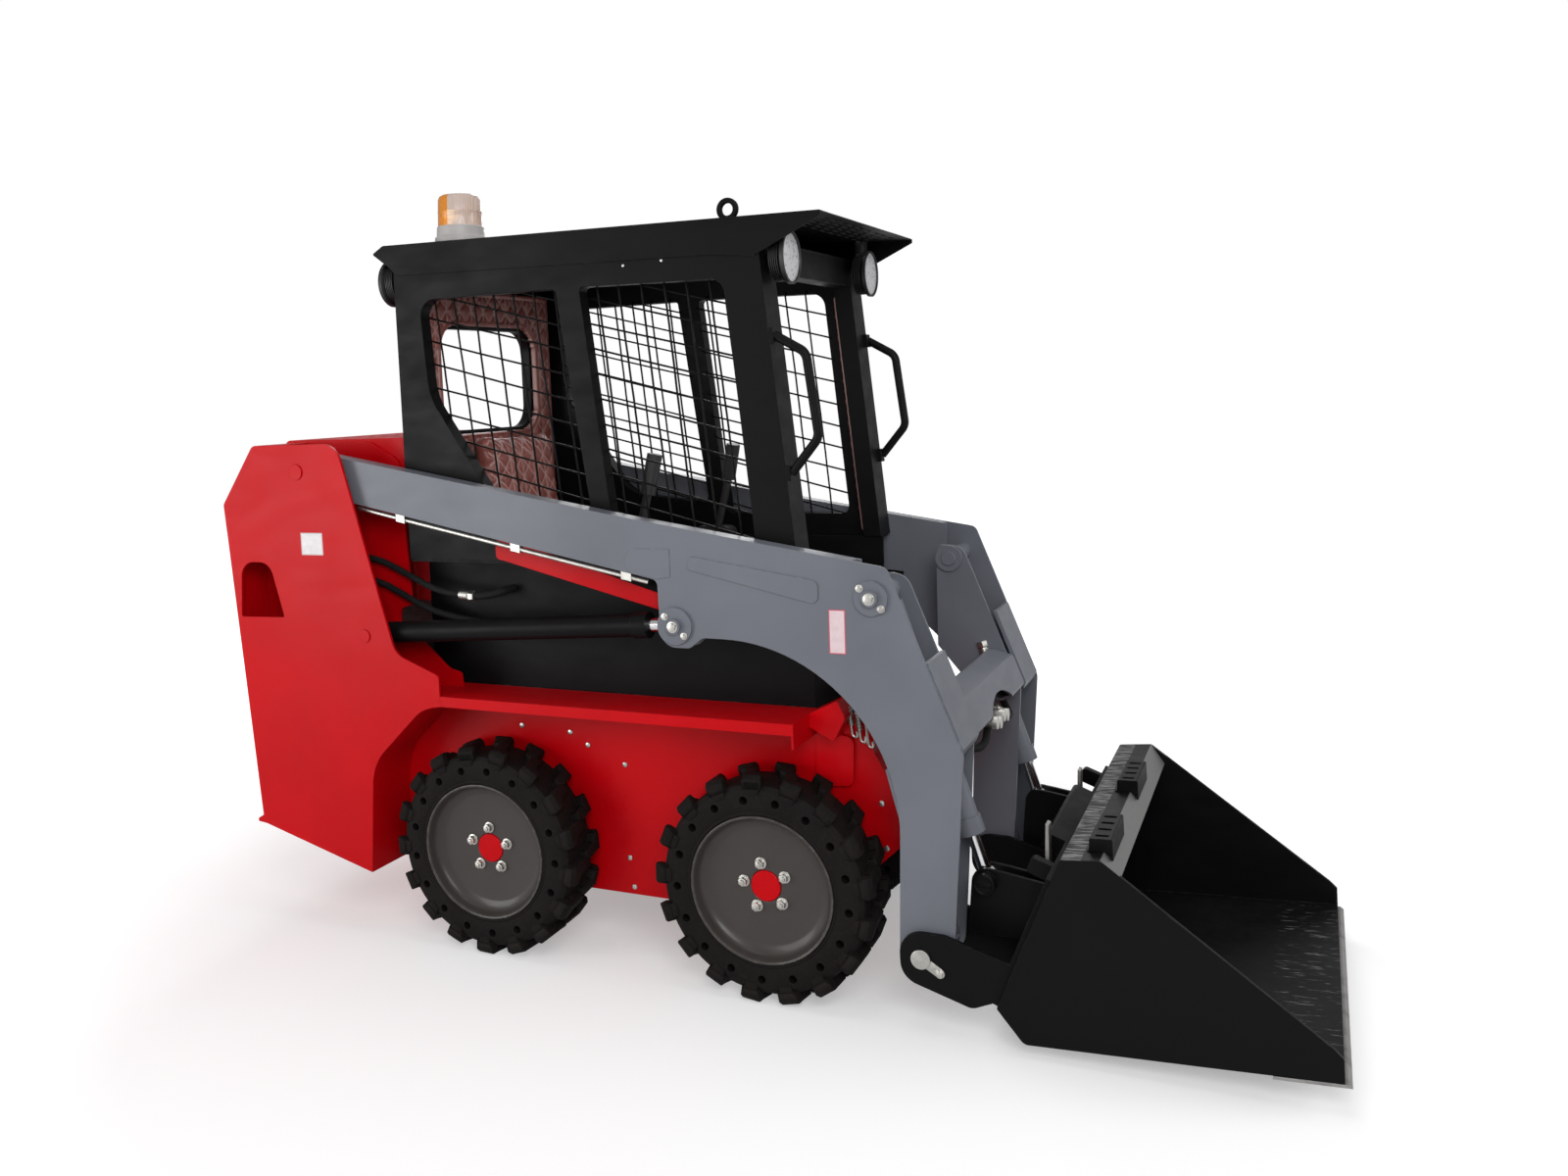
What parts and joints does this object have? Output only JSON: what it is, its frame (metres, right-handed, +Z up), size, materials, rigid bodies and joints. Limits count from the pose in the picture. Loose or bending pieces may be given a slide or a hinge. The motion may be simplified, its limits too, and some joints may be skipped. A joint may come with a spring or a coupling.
{
  "type": "skid steer loader",
  "caption": "Compact wheeled skid steer loader with a caged cab, a pair of lift arms from rear towers, hydraulic cylinders and a front bucket on a quick coupler.",
  "frame": {"origin": "on the ground, on the centre plane, under the middle of the whole length", "axes": "+X forward towards the bucket, +Y to the driver's left, +Z up"},
  "size_m": [2.8946, 0.972, 2.0307],
  "materials": {
    "red_paint": "semi-gloss enamel",
    "grey_paint": "semi-gloss enamel",
    "black_paint": "satin powder coat",
    "guard_wire": "satin powder coat",
    "rim_paint": "satin enamel",
    "tyre_rubber": "moulded",
    "hub_paint": "semi-gloss enamel",
    "rod_chrome": "polished",
    "worn_steel": "scraped bare",
    "zinc_steel": "zinc plated",
    "engine_iron": "as cast, painted",
    "padding_vinyl": "quilted vinyl",
    "seat_vinyl": "grained vinyl",
    "console_plastic": "textured",
    "lamp_body": "moulded",
    "beacon_plastic": "tinted clear"
  },
  "bodies": {
    "chassis": {"chassis_tub": "red_paint", "axle_housings": "red_paint", "fender_right": "red_paint", "fender_left": "red_paint", "arm_stops": "red_paint", "tower_right": "red_paint", "tower_left": "red_paint", "rear_frame": "red_paint", "engine_hood": "red_paint", "side_covers": "black_paint", "cab_floor": "black_paint", "cab_side_right": "black_paint", "cab_side_left": "black_paint", "cab_front_frame": "black_paint", "cab_rear_wall": "black_paint", "cab_roof": "black_paint", "grab_handles": "black_paint", "window_guards": "guard_wire", "lifting_eye": "zinc_steel", "engine_block": "engine_iron", "cab_liner": "padding_vinyl", "seat_cushion": "seat_vinyl", "seat_back": "seat_vinyl", "control_consoles": "console_plastic", "work_lights": "lamp_body", "rear_lamps": "lamp_body", "beacon": "beacon_plastic"},
    "rear_door": {"rear_door": "red_paint"},
    "lift_arms": {"arm_right": "grey_paint", "arm_left": "grey_paint", "arm_crossmember": "grey_paint", "arm_pressure_lines": "zinc_steel", "arm_prop": "red_paint", "quick_couplings": "zinc_steel"},
    "bucket": {"coupler_frame": "black_paint", "bucket_shell": "black_paint", "bucket_edge": "worn_steel", "bucket_steps": "black_paint", "lock_levers": "zinc_steel"},
    "wheel_front_right": {"tyre_front_right": "tyre_rubber", "rim_front_right": "rim_paint", "hub_front_right": "hub_paint"},
    "wheel_rear_right": {"tyre_rear_right": "tyre_rubber", "rim_rear_right": "rim_paint", "hub_rear_right": "hub_paint"},
    "lift_barrel_right": {"lift_barrel_right": "black_paint"},
    "lift_rod_right": {"lift_rod_right": "rod_chrome"},
    "tilt_barrel_right": {"tilt_barrel_right": "grey_paint"},
    "tilt_rod_right": {"tilt_rod_right": "rod_chrome"},
    "wheel_front_left": {"tyre_front_left": "tyre_rubber", "rim_front_left": "rim_paint", "hub_front_left": "hub_paint"},
    "wheel_rear_left": {"tyre_rear_left": "tyre_rubber", "rim_rear_left": "rim_paint", "hub_rear_left": "hub_paint"},
    "lift_barrel_left": {"lift_barrel_left": "black_paint"},
    "lift_rod_left": {"lift_rod_left": "rod_chrome"},
    "tilt_barrel_left": {"tilt_barrel_left": "grey_paint"},
    "tilt_rod_left": {"tilt_rod_left": "rod_chrome"}
  },
  "joints": [
    {"name": "rear_door_hinge", "type": "hinge", "parent": "chassis", "child": "rear_door", "pos_m": [-1.38292, 0.296, 0.35108], "axis": [0.0737, 0, -0.9973], "range_deg": [0, 90]},
    {"name": "wheel_front_right_spin", "type": "hinge", "parent": "chassis", "child": "wheel_front_right", "pos_m": [0.1815, -0.3885, 0.286], "axis": [0, 1, 0], "continuous": true},
    {"name": "wheel_front_left_spin", "type": "hinge", "parent": "chassis", "child": "wheel_front_left", "pos_m": [0.1815, 0.3885, 0.286], "axis": [0, 1, 0], "continuous": true},
    {"name": "wheel_rear_right_spin", "type": "hinge", "parent": "chassis", "child": "wheel_rear_right", "pos_m": [-0.6155, -0.3885, 0.286], "axis": [0, 1, 0], "continuous": true},
    {"name": "wheel_rear_left_spin", "type": "hinge", "parent": "chassis", "child": "wheel_rear_left", "pos_m": [-0.6155, 0.3885, 0.286], "axis": [0, 1, 0], "continuous": true},
    {"name": "lift_arm_hinge", "type": "hinge", "parent": "chassis", "child": "lift_arms", "pos_m": [-1.16, 0, 1.308], "axis": [0, -1, 0], "range_deg": [0, 64]},
    {"name": "bucket_tilt_hinge", "type": "hinge", "parent": "lift_arms", "child": "bucket", "pos_m": [0.573, 0, 0.18], "axis": [0, -1, 0], "range_deg": [-104, 25]},
    {"name": "lift_barrel_right_swing", "type": "hinge", "parent": "chassis", "child": "lift_barrel_right", "pos_m": [-0.957, -0.414, 0.858], "axis": [0, -1, 0], "range_deg": [0, 60]},
    {"name": "lift_rod_right_slide", "type": "slide", "parent": "lift_barrel_right", "child": "lift_rod_right", "axis": [0.9978, 0, 0.0664], "range_m": [0, 0.517]},
    {"name": "tilt_barrel_right_swing", "type": "hinge", "parent": "lift_arms", "child": "tilt_barrel_right", "pos_m": [0.469, -0.318, 1.004], "axis": [0, -1, 0], "range_deg": [-6, 1.5]},
    {"name": "tilt_rod_right_slide", "type": "slide", "parent": "tilt_barrel_right", "child": "tilt_rod_right", "axis": [0.323, 0, -0.9464], "range_m": [-0.0726, 0.3018]},
    {"name": "lift_barrel_left_swing", "type": "hinge", "parent": "chassis", "child": "lift_barrel_left", "pos_m": [-0.957, 0.414, 0.858], "axis": [0, -1, 0], "range_deg": [0, 60]},
    {"name": "lift_rod_left_slide", "type": "slide", "parent": "lift_barrel_left", "child": "lift_rod_left", "axis": [0.9978, 0, 0.0664], "range_m": [0, 0.517]},
    {"name": "tilt_barrel_left_swing", "type": "hinge", "parent": "lift_arms", "child": "tilt_barrel_left", "pos_m": [0.469, 0.318, 1.004], "axis": [0, -1, 0], "range_deg": [-6, 1.5]},
    {"name": "tilt_rod_left_slide", "type": "slide", "parent": "tilt_barrel_left", "child": "tilt_rod_left", "axis": [0.323, 0, -0.9464], "range_m": [-0.0726, 0.3018]}
  ],
  "couplings": [
    {"joint": "lift_barrel_right_swing", "follows": "lift_arm_hinge", "ratio": 0.93536},
    {"joint": "lift_rod_right_slide", "follows": "lift_arm_hinge", "m_per_rad": 0.46233},
    {"joint": "tilt_barrel_right_swing", "follows": "bucket_tilt_hinge", "ratio": 0.056932},
    {"joint": "tilt_rod_right_slide", "follows": "bucket_tilt_hinge", "m_per_rad": -0.16624},
    {"joint": "lift_barrel_left_swing", "follows": "lift_arm_hinge", "ratio": 0.93536},
    {"joint": "lift_rod_left_slide", "follows": "lift_arm_hinge", "m_per_rad": 0.46233},
    {"joint": "tilt_barrel_left_swing", "follows": "bucket_tilt_hinge", "ratio": 0.056932},
    {"joint": "tilt_rod_left_slide", "follows": "bucket_tilt_hinge", "m_per_rad": -0.16624}
  ]
}
